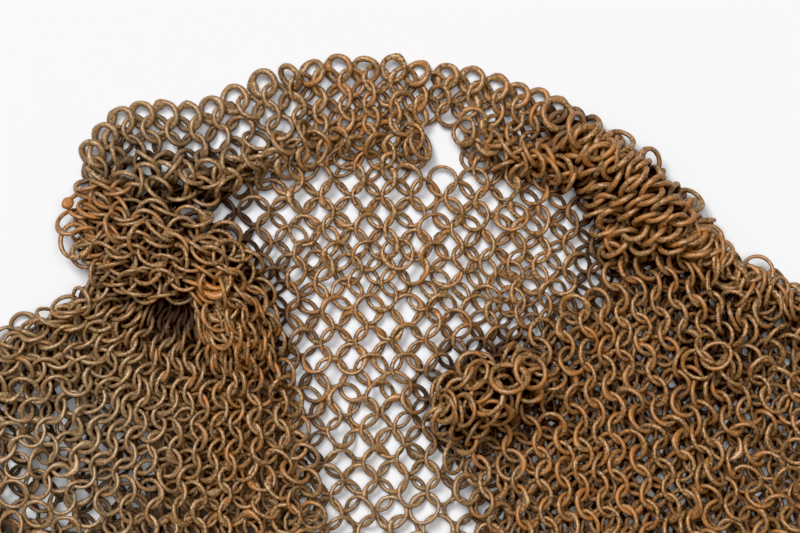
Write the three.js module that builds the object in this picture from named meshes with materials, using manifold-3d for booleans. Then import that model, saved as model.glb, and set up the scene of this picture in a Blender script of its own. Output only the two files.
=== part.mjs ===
// A mail hauberk of riveted iron rings, laid out flat on its back on a level surface.
// Units are millimetres. +X runs towards the garment's right sleeve as it is seen from above,
// +Y from the hem to the collar, and +Z up. The finished group stands with its origin under
// the middle of the garment's box, on the surface that it lies on.
//
// The cloth is one layer of linked rings, four through each, so each piece is a wall of the
// thickness that such a layer has when it lies down. The back lies on the surface, the front
// lies on the back, and the collar has fallen open: its middle lies beyond the back neck, and
// its two front ends are rolled over the shoulders.

import * as THREE from "three";
import Module from "manifold-3d";
import { mergeVertices } from "three/addons/utils/BufferGeometryUtils.js";

const wasm = await Module();
wasm.setup();

// ---------------------------------------------------------------- driving dimensions

const layer = 5.0; // one layer of 11 mm rings of 1.35 mm wire, lying flat
const layerGap = 0.4; // between two layers that lie on each other
const seamGap = 0.3; // between two pieces that are linked edge to edge
const halfChest = 250; // armhole seam to the centre line
const hemLine = -690; // the hem, from the level of the neck point
const armholeTop = -76; // where the armhole seam meets the shoulder
const underarm = -252; // where the armhole seam meets the side seam
const cuffReach = 442; // cuff to the centre line
const sleeveHollow = 1.0; // what stays open inside a sleeve that lies flat
const rollEdge = 1.5; // how thick a rolled end of the collar is at its two sides
const collarEdge = 6.0; // how thick the fallen collar is at its outer edge
const thinnest = 2.0; // where the collar laps the back's neck edge

const backTop = layer;
const frontUnder = backTop + layerGap;
const frontTop = frontUnder + layer;

// The upper edge of both body panels, a row for each point out from the centre line.
// left and right are the heights of the edge on the two sides, and grid is the share of the
// panel's columns that lies between the centre line and this point.
const neckAndShoulder = [
  { out: 0, left: 29, right: 29, grid: 0 },
  { out: 30, left: 28, right: 30, grid: 0.15 },
  { out: 60, left: 24, right: 27, grid: 0.3 },
  { out: 86, left: 10, right: 16, grid: 0.44 },
  { out: 104, left: -10, right: 1, grid: 0.55 },
  { out: 128, left: -24, right: -12, grid: 0.66 },
  { out: 180, left: -50, right: -44, grid: 0.8 },
  { out: halfChest, left: armholeTop, right: armholeTop, grid: 1 },
];

// Half the body's width at each height, from the hem to the armhole.
const sideSeam = [
  { y: hemLine, half: 286 },
  { y: -600, half: 279 },
  { y: -480, half: 258 },
  { y: -380, half: 247 },
  { y: underarm, half: halfChest },
  { y: 40, half: halfChest },
];

// The two edges of the front's neck opening and of the slit under it, from the top down.
const neckSlit = [
  { y: 60, left: -62, right: 66 },
  { y: 24, left: -60, right: 64 },
  { y: 0, left: -47, right: 63 },
  { y: -14, left: -44, right: 47 },
  { y: -30, left: -38, right: 24 },
  { y: -44, left: -32, right: 12 },
  { y: -62, left: -26, right: 20 },
  { y: -85, left: -22, right: 22 },
  { y: -130, left: -13, right: 13 },
  { y: -168, left: -3, right: 3 },
];

// Soft ridges where the front's cloth stands up from the back. turn is in degrees from +X.
const frontRidges = [
  { x: 31, y: -39, turn: 12, length: 46, width: 9, rise: 8 },
  { x: 96, y: -26, turn: -20, length: 30, width: 8, rise: 6 },
  { x: -76, y: -60, turn: 62, length: 90, width: 16, rise: 4 },
  { x: -150, y: -150, turn: 70, length: 150, width: 24, rise: 5 },
  { x: 62, y: -120, turn: 84, length: 120, width: 18, rise: 4 },
  { x: 158, y: -170, turn: 108, length: 170, width: 26, rise: 6 },
  { x: -60, y: -330, turn: 96, length: 260, width: 28, rise: 6 },
  { x: 78, y: -430, turn: 84, length: 300, width: 30, rise: 7 },
  { x: -180, y: -500, turn: 82, length: 260, width: 26, rise: 6 },
  { x: 204, y: -560, turn: 98, length: 200, width: 24, rise: 5 },
  { x: -6, y: -600, turn: 90, length: 160, width: 22, rise: 5 },
];

// The fallen collar's middle part, a row for each section from its left end to its right.
// It lies on the surface outside the back's neck edge, and its inner margin laps the back.
const collarBackRows = [
  { outerX: -106, outerY: 30, innerX: -91, innerY: 19, top: 10.4 },
  { outerX: -99, outerY: 41, innerX: -81, innerY: 26, top: 10.4 },
  { outerX: -84, outerY: 50, innerX: -69, innerY: 31, top: 10.4 },
  { outerX: -57, outerY: 55, innerX: -50, innerY: 23, top: 10.4 },
  { outerX: -26, outerY: 64, innerX: -22, innerY: 24, top: 10.5 },
  { outerX: 0, outerY: 66, innerX: 0, innerY: 26, top: 10.5 },
  { outerX: 25, outerY: 62, innerX: 22, innerY: 25, top: 10.5 },
  { outerX: 49, outerY: 53, innerX: 42, innerY: 23, top: 10.4 },
  { outerX: 68, outerY: 42, innerX: 60, innerY: 20, top: 10.4 },
];

// The collar's left end, rolled over the shoulder and down the edge of the slit.
const rollLeftRows = [
  { x: -108, y: 12, half: 9, rise: 6 },
  { x: -99, y: 13, half: 14, rise: 13 },
  { x: -86, y: 10, half: 16, rise: 16 },
  { x: -72, y: 5, half: 17, rise: 18 },
  { x: -59, y: -3, half: 16, rise: 17 },
  { x: -50, y: -14, half: 11, rise: 14 },
  { x: -46, y: -27, half: 8, rise: 10 },
  { x: -44, y: -36, half: 5, rise: 6 },
];

// The collar's right end, which tumbles round the neck point on to the front.
const rollRightRows = [
  { x: 58, y: 41, half: 9, rise: 6 },
  { x: 68, y: 37, half: 12, rise: 11 },
  { x: 79, y: 27, half: 14, rise: 14 },
  { x: 87, y: 14, half: 16, rise: 15 },
  { x: 90, y: 0, half: 17, rise: 14 },
  { x: 84, y: -14, half: 19, rise: 11 },
  { x: 76, y: -24, half: 17, rise: 6 },
];

// One sleeve, a row for each section from the armhole to the cuff.
const sleeveRows = [
  { out: halfChest + seamGap, upper: armholeTop, lower: underarm },
  { out: 285, upper: -86, lower: -263 },
  { out: 325, upper: -99, lower: -278 },
  { out: 365, upper: -112, lower: -289 },
  { out: 405, upper: -126, lower: -298 },
  { out: cuffReach, upper: -140, lower: -305 },
];

// How the front comes down on the back: over the last stretch before a side seam and before
// the hem, where a share of each ridge is left.
const settle = { atSeam: 30, atHem: 30, hemShare: 0.3 };

// Where the collar's underside drops from the back's face to the surface, past the neck edge.
const lap = { from: 6, to: 16 };

// The powers that make a flat sleeve's section nearly square: low is squarer.
const sleeveCorner = { wide: 0.9, high: 0.16 };

// Grid steps: few, because the cloth's own texture is no part of these solids. The panels'
// rows crowd together towards the neck by a power of their share.
const steps = { bodyAcross: 30, bodyDown: 22, collarAcross: 5, rollAlong: 14, rollAcross: 8 };
const sleeveRound = 22;
const rowCrowding = 1.5;

// ---------------------------------------------------------------- helpers

// The value of one column of a table at a place along another, with straight lines between rows.
function readTable(rows, along, column, at) {
  const first = rows[0];
  const last = rows[rows.length - 1];
  const rising = last[along] > first[along];
  const place = (row) => (rising ? row[along] : -row[along]);
  const wanted = rising ? at : -at;
  if (wanted <= place(first)) return first[column];
  for (let i = 1; i < rows.length; i += 1) {
    if (wanted <= place(rows[i])) {
      const share = (wanted - place(rows[i - 1])) / (place(rows[i]) - place(rows[i - 1]));
      return rows[i - 1][column] + share * (rows[i][column] - rows[i - 1][column]);
    }
  }
  return last[column];
}

// A smooth curve through one column of a table, read at a share of the table's length.
function readSmooth(rows, column, share) {
  const place = share * (rows.length - 1);
  const i = Math.min(Math.floor(place), rows.length - 2);
  const t = place - i;
  const at = (k) => rows[Math.max(0, Math.min(rows.length - 1, k))][column];
  const [a, b, c, d] = [at(i - 1), at(i), at(i + 1), at(i + 2)];
  return b + 0.5 * t * (c - a + t * (2 * a - 5 * b + 4 * c - d + t * (3 * (b - c) + d - a)));
}

// How far a set of ridges lifts the cloth at a point.
function liftOf(ridges, x, y) {
  let lift = 0;
  for (const ridge of ridges) {
    const turn = THREE.MathUtils.degToRad(ridge.turn);
    const along = (x - ridge.x) * Math.cos(turn) + (y - ridge.y) * Math.sin(turn);
    const across = (y - ridge.y) * Math.cos(turn) - (x - ridge.x) * Math.sin(turn);
    const near = (across / ridge.width) ** 2 + (along / (0.5 * ridge.length)) ** 2;
    lift += ridge.rise * Math.exp(-near);
  }
  return lift;
}

function closedGeometry(points, faces) {
  const geometry = new THREE.BufferGeometry();
  geometry.setAttribute("position", new THREE.Float32BufferAttribute(points.flat(), 3));
  geometry.setIndex(faces.flat());
  geometry.computeVertexNormals();
  return geometry;
}

// A closed wall from a grid of columns and rows. columnAt gives x, y, low and high for two
// shares from 0 to 1, the first running right and the second running up the garment.
function wallFromGrid(across, down, columnAt) {
  const points = [];
  const faces = [];
  const index = (i, j, upper) => 2 * (j * (across + 1) + i) + upper;
  for (let j = 0; j <= down; j += 1) {
    for (let i = 0; i <= across; i += 1) {
      const at = columnAt(i / across, j / down);
      points.push([at.x, at.y, at.low], [at.x, at.y, at.high]);
    }
  }
  const quad = (a, b, c, d) => faces.push([a, b, c], [a, c, d]);
  for (let j = 0; j < down; j += 1) {
    for (let i = 0; i < across; i += 1) {
      quad(index(i, j, 1), index(i + 1, j, 1), index(i + 1, j + 1, 1), index(i, j + 1, 1));
      quad(index(i, j, 0), index(i, j + 1, 0), index(i + 1, j + 1, 0), index(i + 1, j, 0));
    }
  }
  for (let i = 0; i < across; i += 1) {
    quad(index(i, 0, 0), index(i + 1, 0, 0), index(i + 1, 0, 1), index(i, 0, 1));
    quad(index(i + 1, down, 0), index(i, down, 0), index(i, down, 1), index(i + 1, down, 1));
  }
  for (let j = 0; j < down; j += 1) {
    quad(index(0, j + 1, 0), index(0, j, 0), index(0, j, 1), index(0, j + 1, 1));
    quad(index(across, j, 0), index(across, j + 1, 0), index(across, j + 1, 1), index(across, j, 1));
  }
  return closedGeometry(points, faces);
}

// ---------------------------------------------------------------- the body panels

// The plan of a body panel: a point of it for a share across and a share up from the hem.
function bodyPlan(shareAcross, shareUp) {
  const side = 2 * shareAcross - 1;
  const column = side < 0 ? "left" : "right";
  const out = readTable(neckAndShoulder, "grid", "out", Math.abs(side));
  const upper = readTable(neckAndShoulder, "out", column, out);
  const y = hemLine + (upper - hemLine) * (1 - (1 - shareUp) ** rowCrowding);
  const x = (Math.sign(side) * out * readTable(sideSeam, "y", "half", y)) / halfChest;
  return { x, y };
}

function backGeometry() {
  return wallFromGrid(steps.bodyAcross, steps.bodyDown, (shareAcross, shareUp) => {
    return { ...bodyPlan(shareAcross, shareUp), low: 0, high: backTop };
  });
}

// The front lies on the back, stands up in soft ridges, and comes down at its side seams.
function frontHeight(x, y) {
  const half = readTable(sideSeam, "y", "half", y);
  const nearSeam = THREE.MathUtils.clamp((half - Math.abs(x)) / settle.atSeam, 0, 1);
  const nearHem = THREE.MathUtils.clamp((y - hemLine) / settle.atHem, settle.hemShare, 1);
  return frontUnder + liftOf(frontRidges, x, y) * nearSeam * nearHem;
}

function frontPanel() {
  return wallFromGrid(steps.bodyAcross, steps.bodyDown, (shareAcross, shareUp) => {
    const at = bodyPlan(shareAcross, shareUp);
    const low = frontHeight(at.x, at.y);
    return { ...at, low, high: low + layer };
  });
}

// All the space under whatever lies on the front.
function underFront() {
  return wallFromGrid(steps.bodyAcross, steps.bodyDown, (shareAcross, shareUp) => {
    const at = bodyPlan(shareAcross, shareUp);
    return { ...at, low: 0, high: frontHeight(at.x, at.y) + layer + layerGap };
  });
}

// What is left out of the front: the neck opening and the slit under it.
function neckSlitGeometry() {
  const outline = new THREE.Shape();
  outline.moveTo(neckSlit[0].left, neckSlit[0].y);
  neckSlit.slice(1).forEach((row) => outline.lineTo(row.left, row.y));
  [...neckSlit].reverse().forEach((row) => outline.lineTo(row.right, row.y));
  outline.closePath();
  const wellAbove = 4 * frontTop;
  return new THREE.ExtrudeGeometry(outline, { depth: wellAbove, bevelEnabled: false });
}

function toSolid(geometry) {
  const bare = geometry.clone();
  bare.deleteAttribute("normal");
  bare.deleteAttribute("uv");
  const merged = mergeVertices(bare, 1e-4);
  return new wasm.Manifold(
    new wasm.Mesh({
      numProp: 3,
      vertProperties: merged.attributes.position.array,
      triVerts: new Uint32Array(merged.index.array),
    }),
  );
}

function toGeometry(solid) {
  const mesh = solid.getMesh();
  const geometry = new THREE.BufferGeometry();
  geometry.setAttribute("position", new THREE.BufferAttribute(mesh.vertProperties, 3));
  geometry.setIndex(new THREE.BufferAttribute(mesh.triVerts, 1));
  geometry.computeVertexNormals();
  return geometry;
}

function frontGeometry() {
  return toGeometry(toSolid(frontPanel()).subtract(toSolid(neckSlitGeometry())));
}

// ---------------------------------------------------------------- the sleeves

// One section of a sleeve laid flat: a tube with a flat underside and rounded edges.
function sleeveSection(row, inset) {
  const tall = 2 * layer + sleeveHollow - 2 * inset;
  const half = 0.5 * (row.upper - row.lower) - inset;
  const middle = 0.5 * (row.upper + row.lower);
  const loop = [];
  for (let i = 0; i < sleeveRound; i += 1) {
    const turn = (2 * Math.PI * (i + 0.5)) / sleeveRound;
    const wide = Math.sign(Math.cos(turn)) * Math.abs(Math.cos(turn)) ** sleeveCorner.wide;
    const high = Math.sign(Math.sin(turn)) * Math.abs(Math.sin(turn)) ** sleeveCorner.high;
    loop.push([row.out, middle + half * wide, inset + 0.5 * tall * (1 + high)]);
  }
  return loop;
}

function sleeveGeometry(side) {
  const points = [];
  const faces = [];
  const put = (loop) => loop.forEach(([x, y, z]) => points.push([side * x, y, z]));
  sleeveRows.forEach((row) => put(sleeveSection(row, 0)));
  sleeveRows.forEach((row) => put(sleeveSection(row, layer)));
  const inner = sleeveRows.length * sleeveRound;
  const last = (sleeveRows.length - 1) * sleeveRound;
  const face = (a, b, c) => faces.push(side > 0 ? [a, b, c] : [a, c, b]);
  const quad = (a, b, c, d) => [face(a, b, c), face(a, c, d)];
  for (let i = 0; i < sleeveRound; i += 1) {
    const next = (i + 1) % sleeveRound;
    for (let row = 0; row < last; row += sleeveRound) {
      const beyond = row + sleeveRound;
      quad(row + i, row + next, beyond + next, beyond + i);
      quad(inner + row + next, inner + row + i, inner + beyond + i, inner + beyond + next);
    }
    quad(next, i, inner + i, inner + next);
    quad(last + i, last + next, inner + last + next, inner + last + i);
  }
  return closedGeometry(points, faces);
}

// ---------------------------------------------------------------- the collar

// The collar's middle: on the surface outside the neck edge, and lapped over the back inside.
function collarBackGeometry() {
  const along = 2 * (collarBackRows.length - 1);
  return wallFromGrid(along, steps.collarAcross, (shareAlong, shareOut) => {
    const column = (name) => readSmooth(collarBackRows, name, shareAlong);
    const x = THREE.MathUtils.lerp(column("innerX"), column("outerX"), shareOut);
    const y = THREE.MathUtils.lerp(column("innerY"), column("outerY"), shareOut);
    const edge = readTable(neckAndShoulder, "out", x < 0 ? "left" : "right", Math.abs(x));
    const low = frontUnder * (1 - THREE.MathUtils.smoothstep(y - edge, lap.from, lap.to));
    const fall = THREE.MathUtils.smoothstep(shareOut, 0.2, 1);
    const high = THREE.MathUtils.lerp(column("top"), collarEdge, fall);
    return { x, y, low, high: Math.max(high, low + thinnest) };
  });
}

// A rolled end of the collar: one rounded solid on the front, worked out from its middle line.
function rollGeometry(rows) {
  const middleAt = (shareAlong) => {
    const x = readSmooth(rows, "x", shareAlong);
    const y = readSmooth(rows, "y", shareAlong);
    return new THREE.Vector2(x, y);
  };
  return wallFromGrid(steps.rollAlong, steps.rollAcross, (shareAlong, shareOut) => {
    const before = middleAt(Math.max(0, shareAlong - 0.01));
    const ahead = middleAt(Math.min(1, shareAlong + 0.01)).sub(before);
    const normal = new THREE.Vector2(-ahead.y, ahead.x).normalize();
    const side = 2 * shareOut - 1;
    const half = readSmooth(rows, "half", shareAlong);
    const rise = readSmooth(rows, "rise", shareAlong);
    const at = middleAt(shareAlong).addScaledVector(normal, side * half);
    const low = frontTop + layerGap;
    const high = low + rollEdge + (rise - rollEdge) * Math.sqrt(1 - side * side);
    return { x: at.x, y: at.y, low, high: high + liftOf(frontRidges, at.x, at.y) };
  });
}

// The roll cut to lie on the front wherever the front's ridges come up under it.
function rollOnFront(rows) {
  return toGeometry(toSolid(rollGeometry(rows)).subtract(toSolid(underFront())));
}

// ---------------------------------------------------------------- the garment

// Each piece has its own shade of the same browned iron.
function addPiece(garment, name, geometry, shade) {
  const material = new THREE.MeshStandardMaterial({
    color: new THREE.Color(0.36, 0.25, 0.14).multiplyScalar(shade),
    roughness: 0.5,
    metalness: 0.7,
  });
  const piece = new THREE.Mesh(geometry, material);
  piece.name = name;
  garment.add(piece);
}

const garment = new THREE.Group();
addPiece(garment, "back", backGeometry(), 0.9);
addPiece(garment, "front", frontGeometry(), 1.0);
addPiece(garment, "sleeve_left", sleeveGeometry(-1), 0.95);
addPiece(garment, "sleeve_right", sleeveGeometry(1), 0.95);
addPiece(garment, "collar_back", collarBackGeometry(), 1.05);
addPiece(garment, "collar_left", rollOnFront(rollLeftRows), 1.1);
addPiece(garment, "collar_right", rollOnFront(rollRightRows), 1.1);

const box = new THREE.Box3().setFromObject(garment);
const middle = box.getCenter(new THREE.Vector3());
garment.position.set(-middle.x, -middle.y, -box.min.z);

export default garment;
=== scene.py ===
import math

import bpy
import numpy as np
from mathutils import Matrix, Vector
from mathutils.bvhtree import BVHTree


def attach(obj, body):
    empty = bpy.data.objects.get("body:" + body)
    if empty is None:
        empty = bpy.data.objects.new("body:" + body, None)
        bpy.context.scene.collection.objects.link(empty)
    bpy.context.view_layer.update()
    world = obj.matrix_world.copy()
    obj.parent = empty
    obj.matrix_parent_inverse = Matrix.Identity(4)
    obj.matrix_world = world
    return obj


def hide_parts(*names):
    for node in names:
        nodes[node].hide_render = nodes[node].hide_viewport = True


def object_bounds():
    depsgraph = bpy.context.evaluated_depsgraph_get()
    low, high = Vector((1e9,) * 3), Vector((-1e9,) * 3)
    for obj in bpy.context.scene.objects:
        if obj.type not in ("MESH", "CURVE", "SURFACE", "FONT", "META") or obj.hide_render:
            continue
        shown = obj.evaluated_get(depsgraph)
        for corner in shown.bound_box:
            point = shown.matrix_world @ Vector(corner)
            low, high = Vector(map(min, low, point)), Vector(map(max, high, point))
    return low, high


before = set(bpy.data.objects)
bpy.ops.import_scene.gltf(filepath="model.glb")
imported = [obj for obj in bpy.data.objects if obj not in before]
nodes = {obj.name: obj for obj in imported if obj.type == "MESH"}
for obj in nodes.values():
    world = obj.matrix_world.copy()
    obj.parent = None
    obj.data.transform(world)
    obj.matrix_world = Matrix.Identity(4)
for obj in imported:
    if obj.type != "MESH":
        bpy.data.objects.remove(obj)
cadLow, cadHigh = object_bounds()
random = np.random.default_rng(11)

# Tables are in millimetres, from the point on the surface under the middle of the neck opening.
hemToNeck = 690
neck = np.array([0.0, cadLow[1] * 1000 + hemToNeck, 0.0])

ring = {
    "radius": 4.83,  # to the middle of the wire
    "wire": 1.35,
    "heavyWire": 2.0,  # the collar's edge
    "heavyRadius": 3.95,
    "spread": 49.0,  # square millimetres of cloth to a ring when the mail is cut and pulled flat
    "segments": 22,
    "sides": 6,
    "lapWide": 1.15,  # how much wider the wire is where its ends are riveted
    "lapThin": 0.16,  # and how much of its thickness it loses there
    "lapReach": 0.42,
    "laps": (0.5, 1.15),
    "bigLap": 1.9,
    "bigLapOdds": 0.14,
    "oval": 0.025,
    "dent": 0.02,
    "rough": 0.035,
    "rivet": 0.5,
    "rivetTall": 0.32,
    "strayHold": 0.25,  # how firmly a single ring keeps its place
}

# how a ring leans across its row, and how untidily it lies
lying = {"lean": 2.1, "leanMost": 0.92, "shift": 0.22, "turn": 0.09, "radius": 0.03, "wire": 0.05}

# where the iron has rusted most: place, reach and amount
rustPatches = [
    (-105, 20, 6, 1.2),
    (-92, 17, 12, 0.55),
    (-60, -6, 5, 0.9),
    (-53, -20, 16, 0.3),
    (-50, -55, 34, 0.24),
    (-12, 45, 16, 0.25),
    (52, 40, 18, 0.4),
    (85, 14, 26, 0.28),
    (62, -62, 62, 0.2),
    (38, -52, 22, 0.15),
    (-30, -75, 30, 0.12),
    (-190, -130, 90, 0.3),
    (120, -200, 110, 0.35),
    (-110, -330, 120, 0.25),
    (190, -430, 120, 0.3),
    (-60, -560, 130, 0.35),
    (-360, -160, 70, 0.3),
    (350, -120, 80, 0.3),
]

# where it has worn bare and grey instead
barePatches = [
    (-104, -55, 44, 0.9),
    (6, -78, 24, 0.7),
    (-84, 38, 26, 0.6),
    (-48, 46, 26, 0.4),
    (-20, -60, 26, 0.3),
    (-250, -60, 60, 0.5),
    (30, -330, 90, 0.5),
    (-210, -480, 90, 0.5),
    (240, -280, 70, 0.4),
    (150, -620, 90, 0.5),
]

# painted shade: how the lower rings darken, the deeper they lie below the wires around them
paintedShade = {"cell": 4.0, "from": 1.8, "to": 7.9, "margin": 12, "hollowTop": 14, "hollowDeep": 6}
# painted shadow in hollows among the folds: place, reach and amount, stronger the lower a wire lies
shadowedHollows = [
    (-77, -13, 9, 0.6), (-66, -14, 7, 0.55), (-83, -9, 7, 0.3), (33, -31, 7, 0.3), (62, -2, 8, 0.3),
    (-74, 29, 8, 0.35), (-60, 27, 7, 0.3),
]

# what each ring knows about itself, one array each
ringKeys = ("centre", "side", "up", "radius", "wire", "home", "hold")


def surfaceOf(node):
    mesh, matrix = nodes[node].data, nodes[node].matrix_world
    points = [matrix @ vertex.co for vertex in mesh.vertices]
    return BVHTree.FromPolygons(points, [tuple(face.vertices) for face in mesh.polygons])


surfaces = {node: surfaceOf(node) for node in nodes}


def topAt(node, x, y):
    # how high the model stands at a place, or None beside it
    hit = surfaces[node].ray_cast(Vector((x * 0.001, y * 0.001, 0.2)), Vector((0, 0, -1)))[0]
    return None if hit is None else hit.z * 1000


def besideSpot(x, y, reach):
    return [(x + reach, y), (x - reach, y), (x, y + reach), (x, y - reach)]


def joinRings(*groups):
    return {key: np.concatenate([group[key] for group in groups]) for key in ringKeys}


def pickRings(rings, chosen):
    return {key: rings[key][chosen] for key in ringKeys}


def spline(points, share):
    # a smooth curve through rows of points, read at a share for each column
    count = len(points)
    place = np.clip(share, 0, 1) * (count - 1)
    index = np.minimum(np.floor(place).astype(int), count - 2)
    t = (place - index)[:, None]
    column = np.arange(points.shape[1]) if points.shape[1] > 1 else np.zeros(len(share), int)
    a, b, c, d = (points[np.clip(index + step, 0, count - 1), column] for step in (-1, 0, 1, 2))
    return b + 0.5 * t * (c - a + t * (2 * a - 5 * b + 4 * c - d + t * (3 * (b - c) + d - a)))


def clothPoint(strands, across, along):
    lines = np.array([spline(np.array(strand, float)[:, None, :], along) for strand in strands])
    return spline(lines, across)


def weaveRings(cloth):
    # every ring passes through two in the row above and two in the row below
    strands, columns, rows = cloth["strands"], cloth["columns"], cloth["rows"]
    across, along, odd = [], [], []
    for row in range(rows + 1):
        shift = 0.5 * (row % 2)
        for column in range(columns + 1 - row % 2):
            across.append((column + shift) / columns)
            along.append(row / rows)
            odd.append(row % 2)
    across, along, odd = np.array(across), np.array(along), np.array(odd)
    step = 0.01
    bend = cloth.get("bend", lambda point, across, along: point)
    wander = cloth.get("wander", 0)

    def at(acrossShare, alongShare):
        # the weave opens and crowds a little, but not at its edges
        inside = np.clip(12 * acrossShare * (1 - acrossShare) * alongShare * (1 - alongShare), 0, 1)
        first = np.sin(acrossShare * columns * 0.9 + alongShare * rows * 0.31 + 1.0)
        second = np.sin(alongShare * rows * 0.73 - acrossShare * columns * 0.42 + 2.0)
        third = np.sin(acrossShare * columns * 0.37 + alongShare * rows * 1.1)
        shiftedAcross = acrossShare + inside * wander * (first + third) / columns
        shiftedAlong = alongShare + inside * wander * second / rows
        return bend(clothPoint(strands, shiftedAcross, shiftedAlong), acrossShare, alongShare)

    centre = at(across, along)
    right = (at(across + step, along) - at(across - step, along)) / (2 * step * columns)
    down = (at(across, along + step) - at(across, along - step)) / (2 * step * rows)
    ends = (across < step) | (across > 1 - step)
    right[ends] *= 2
    pitch = np.linalg.norm(right, axis=1)
    right /= pitch[:, None]
    face = np.cross(down, right)
    face /= np.linalg.norm(face, axis=1)[:, None]
    wire = np.full(len(centre), cloth.get("wire", ring["wire"]))
    radius = np.atleast_1d(cloth.get("radius", ring["radius"]))
    radius = np.interp(across, np.linspace(0, 1, len(radius)), radius)
    heavy = along * rows < cloth.get("heavyRows", 0)
    wire[heavy], radius[heavy] = ring["heavyWire"], ring["heavyRadius"]
    lean = np.clip(lying["lean"] * wire / pitch, cloth.get("leanLeast", 0.2), lying["leanMost"])
    lean = np.arcsin(lean)
    lean = (lean * np.where(odd == 1, -1, 1))[:, None]
    up = face * np.cos(lean) - right * np.sin(lean)
    side = right * np.cos(lean) + face * np.sin(lean)
    rings = {
        "centre": centre + neck,
        "side": side,
        "up": up,
        "radius": radius,
        "wire": wire,
        "home": centre + neck,
        "hold": np.full(len(centre), cloth.get("hold", 0.05)),
    }
    loose = np.atleast_1d(cloth.get("loose", 1.0))
    return unsettle(rings, np.interp(across, np.linspace(0, 1, len(loose)), loose)[:, None])


def turnRings(rings, turn):
    # turn is a small rotation vector for each ring
    for key in ("side", "up"):
        rings[key] = rings[key] + np.cross(turn, rings[key])
    rings["up"] /= np.linalg.norm(rings["up"], axis=1)[:, None]
    rings["side"] -= rings["up"] * np.sum(rings["side"] * rings["up"], axis=1)[:, None]
    rings["side"] /= np.linalg.norm(rings["side"], axis=1)[:, None]


def unsettle(rings, loose):
    count = len(rings["centre"])
    rings["centre"] = rings["centre"] + random.normal(0, lying["shift"] * loose, (count, 3))
    turnRings(rings, random.normal(0, lying["turn"] * loose, (count, 3)))
    rings["radius"] = rings["radius"] * random.normal(1, lying["radius"], count).clip(0.92, 1.1)
    rings["wire"] = rings["wire"] * random.normal(1, lying["wire"], count).clip(0.88, 1.14)
    return rings


settle = {
    "rounds": 90,
    "samples": 20,
    "gravity": 0.05,
    "fallUntil": 0.7,  # the share of the rounds in which they sink
    "stir": 0.05,  # how much the rings are shaken at first
    "stirUntil": 0.5,
    "stirTurn": 0.25,
    "turning": 15.0,  # a ring's resistance to turning
    "pairsEvery": 15,
    "overshoot": 1.6,
    "floorPush": 0.6,
    "floorTurn": 0.5,
    "homeHeight": 0.6,  # how much less a ring is drawn back to its height than to its place
    "longest": 0.45,  # the furthest that a ring goes in one round
    "sharpest": 0.12,
}


def nearPairs(rings):
    centre, reach = rings["centre"], rings["radius"] + rings["wire"]
    first, second = [], []
    block = 400
    for start in range(0, len(centre), block):
        gap = centre[start:start + block, None, :] - centre[None, :, :]
        limit = reach[start:start + block, None] + reach[None, :]
        i, j = np.nonzero(np.einsum("ijk,ijk->ij", gap, gap) < limit * limit)
        first.append(i + start)
        second.append(j)
    first, second = np.concatenate(first), np.concatenate(second)
    different = first != second
    return first[different], second[different]


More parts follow.
